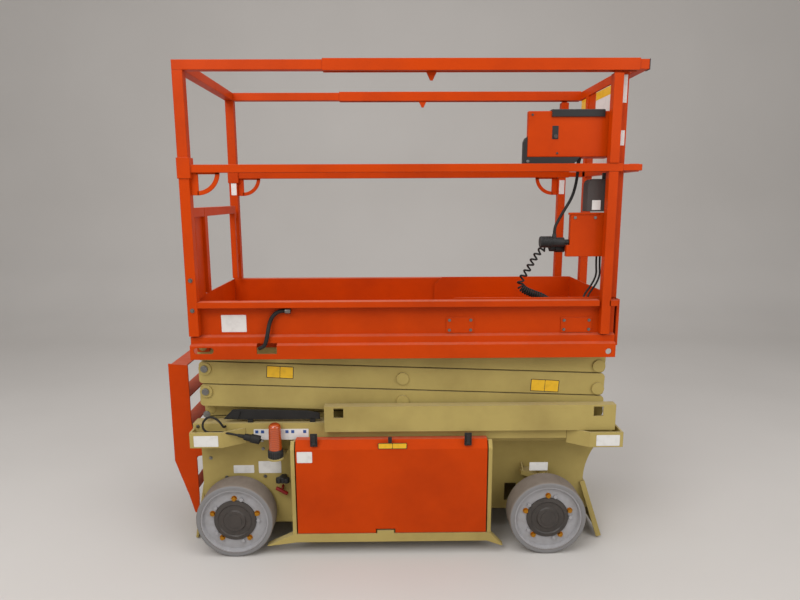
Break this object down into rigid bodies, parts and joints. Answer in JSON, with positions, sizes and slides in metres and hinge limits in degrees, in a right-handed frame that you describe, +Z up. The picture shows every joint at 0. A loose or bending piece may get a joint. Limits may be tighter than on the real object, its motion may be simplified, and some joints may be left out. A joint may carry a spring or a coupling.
{
  "type": "slab electric scissor lift",
  "caption": "Compact electric scissor lift with stacked lifting arms, railed platform with sliding extension deck, entry ladder and steered front wheels.",
  "frame": {"origin": "centre of the outline at floor level, under the middle of the machine", "axes": "+X towards the steered front wheels, +Y to the machine's left, +Z up"},
  "size_m": [1.906, 0.7613, 2.0035],
  "materials": {
    "sand_paint": "semi-gloss",
    "orange_paint": "gloss",
    "tyre_rubber": "matte",
    "rim_paint": "satin",
    "bare_steel": "satin",
    "chrome_rod": "polished",
    "black_plastic": "matte",
    "grey_plastic": "matte",
    "amber_lens": "gloss",
    "black_rubber": "matte"
  },
  "bodies": {
    "chassis": {"side_beams": "sand_paint", "side_plates": "sand_paint", "service_bays": "sand_paint", "underpan": "sand_paint", "lamp_shelf": "sand_paint", "track_guards": "sand_paint", "corner_straps": "sand_paint", "pothole_bars": "sand_paint", "end_guards": "sand_paint", "entry_ladder": "orange_paint", "beacon": "amber_lens", "battery_pack": "black_plastic", "hydraulic_unit": "grey_plastic", "rear_stub_axles": "bare_steel"},
    "right_door": {"door_right": "orange_paint"},
    "left_door": {"door_left": "orange_paint"},
    "right_knuckle": {"knuckle_right": "sand_paint"},
    "left_knuckle": {"knuckle_left": "sand_paint"},
    "rear_right_wheel": {"tyre_rear_right": "tyre_rubber", "rim_rear_right": "rim_paint"},
    "rear_left_wheel": {"tyre_rear_left": "tyre_rubber", "rim_rear_left": "rim_paint"},
    "front_right_wheel": {"tyre_front_right": "tyre_rubber", "rim_front_right": "rim_paint"},
    "front_left_wheel": {"tyre_front_left": "tyre_rubber", "rim_front_left": "rim_paint"},
    "rising_1": {"rising_arms_1": "sand_paint"},
    "falling_1": {"falling_arms_1": "sand_paint", "lower_slide_rollers": "black_plastic"},
    "rising_2": {"rising_arms_2": "sand_paint"},
    "falling_2": {"falling_arms_2": "sand_paint"},
    "rising_3": {"rising_arms_3": "sand_paint"},
    "falling_3": {"falling_arms_3": "sand_paint"},
    "rising_4": {"rising_arms_4": "sand_paint", "upper_slide_rollers": "black_plastic"},
    "falling_4": {"falling_arms_4": "sand_paint"},
    "lift_barrel": {"cylinder_barrel": "sand_paint"},
    "lift_rod": {"cylinder_rod": "chrome_rod"},
    "platform": {"platform_floor": "orange_paint", "toe_boards": "orange_paint", "guard_rails": "orange_paint"},
    "gate": {"entry_gate": "orange_paint"},
    "extension": {"extension_deck": "orange_paint", "extension_rails": "orange_paint", "control_console": "orange_paint", "document_box": "grey_plastic", "outlet_box": "orange_paint"}
  },
  "joints": [
    {"name": "lift", "type": "hinge", "parent": "chassis", "child": "rising_1", "pos_m": [-0.78, 0, 0.508], "axis": [0, -1, 0], "range_deg": [0, 48]},
    {"name": "level_1_cross", "type": "hinge", "parent": "rising_1", "child": "falling_1", "pos_m": [0.039, 0, 0.557], "axis": [0, -1, 0], "range_deg": [-97, 0]},
    {"name": "level_2_foot", "type": "hinge", "parent": "rising_1", "child": "falling_2", "pos_m": [0.858, 0, 0.606], "axis": [0, -1, 0], "range_deg": [-97, 0]},
    {"name": "level_2_cross", "type": "hinge", "parent": "falling_2", "child": "rising_2", "pos_m": [0.039, 0, 0.655], "axis": [0, -1, 0], "range_deg": [0, 97]},
    {"name": "level_3_foot", "type": "hinge", "parent": "rising_2", "child": "falling_3", "pos_m": [0.858, 0, 0.704], "axis": [0, -1, 0], "range_deg": [-97, 0]},
    {"name": "level_3_cross", "type": "hinge", "parent": "falling_3", "child": "rising_3", "pos_m": [0.039, 0, 0.753], "axis": [0, -1, 0], "range_deg": [0, 97]},
    {"name": "level_4_foot", "type": "hinge", "parent": "rising_3", "child": "falling_4", "pos_m": [0.858, 0, 0.802], "axis": [0, -1, 0], "range_deg": [-97, 0]},
    {"name": "level_4_cross", "type": "hinge", "parent": "falling_4", "child": "rising_4", "pos_m": [0.039, 0, 0.851], "axis": [0, -1, 0], "range_deg": [0, 97]},
    {"name": "platform_level", "type": "hinge", "parent": "falling_4", "child": "platform", "pos_m": [-0.78, 0, 0.9], "axis": [0, -1, 0], "range_deg": [0, 49]},
    {"name": "cylinder_swing", "type": "hinge", "parent": "falling_1", "child": "lift_barrel", "pos_m": [0.639, 0, 0.497], "axis": [0, -1, 0], "range_deg": [-6, 6]},
    {"name": "cylinder_stroke", "type": "slide", "parent": "lift_barrel", "child": "lift_rod", "axis": [-0.9839, 0, 0.1787], "range_m": [0, 0.3543]},
    {"name": "extension_slide", "type": "slide", "parent": "platform", "child": "extension", "axis": [1, 0, 0], "range_m": [0, 0.9]},
    {"name": "entry_gate_hinge", "type": "hinge", "parent": "platform", "child": "gate", "pos_m": [-0.7905, 0.318, 1.3], "axis": [0, 0, 1], "range_deg": [0, 90]},
    {"name": "right_door_hinge", "type": "hinge", "parent": "chassis", "child": "right_door", "pos_m": [0, -0.364, 0.103], "axis": [1, 0, 0], "range_deg": [0, 85]},
    {"name": "left_door_hinge", "type": "hinge", "parent": "chassis", "child": "left_door", "pos_m": [0, 0.364, 0.103], "axis": [-1, 0, 0], "range_deg": [0, 85]},
    {"name": "steer_left", "type": "hinge", "parent": "chassis", "child": "left_knuckle", "pos_m": [0.649, 0.24, 0.1615], "axis": [0, 0, 1], "range_deg": [-30, 30]},
    {"name": "steer_right", "type": "hinge", "parent": "chassis", "child": "right_knuckle", "pos_m": [0.649, -0.24, 0.1615], "axis": [0, 0, 1], "range_deg": [-31, 31]},
    {"name": "rear_right_roll", "type": "hinge", "parent": "chassis", "child": "rear_right_wheel", "pos_m": [-0.669, -0.33, 0.1615], "axis": [0, 1, 0], "continuous": true},
    {"name": "rear_left_roll", "type": "hinge", "parent": "chassis", "child": "rear_left_wheel", "pos_m": [-0.669, 0.33, 0.1615], "axis": [0, 1, 0], "continuous": true},
    {"name": "front_right_roll", "type": "hinge", "parent": "right_knuckle", "child": "front_right_wheel", "pos_m": [0.649, -0.33, 0.1615], "axis": [0, 1, 0], "continuous": true},
    {"name": "front_left_roll", "type": "hinge", "parent": "left_knuckle", "child": "front_left_wheel", "pos_m": [0.649, 0.33, 0.1615], "axis": [0, 1, 0], "continuous": true}
  ],
  "couplings": [
    {"joint": "level_1_cross", "follows": "lift", "ratio": -2},
    {"joint": "level_2_foot", "follows": "lift", "ratio": -2},
    {"joint": "level_2_cross", "follows": "lift", "ratio": 2},
    {"joint": "level_3_foot", "follows": "lift", "ratio": -2},
    {"joint": "level_3_cross", "follows": "lift", "ratio": 2},
    {"joint": "level_4_foot", "follows": "lift", "ratio": -2},
    {"joint": "level_4_cross", "follows": "lift", "ratio": 2},
    {"joint": "platform_level", "follows": "lift", "ratio": 1},
    {"joint": "cylinder_swing", "follows": "lift", "ratio": -0.04513},
    {"joint": "cylinder_stroke", "follows": "lift", "m_per_rad": 0.41097},
    {"joint": "steer_right", "follows": "steer_left", "ratio": 1}
  ]
}
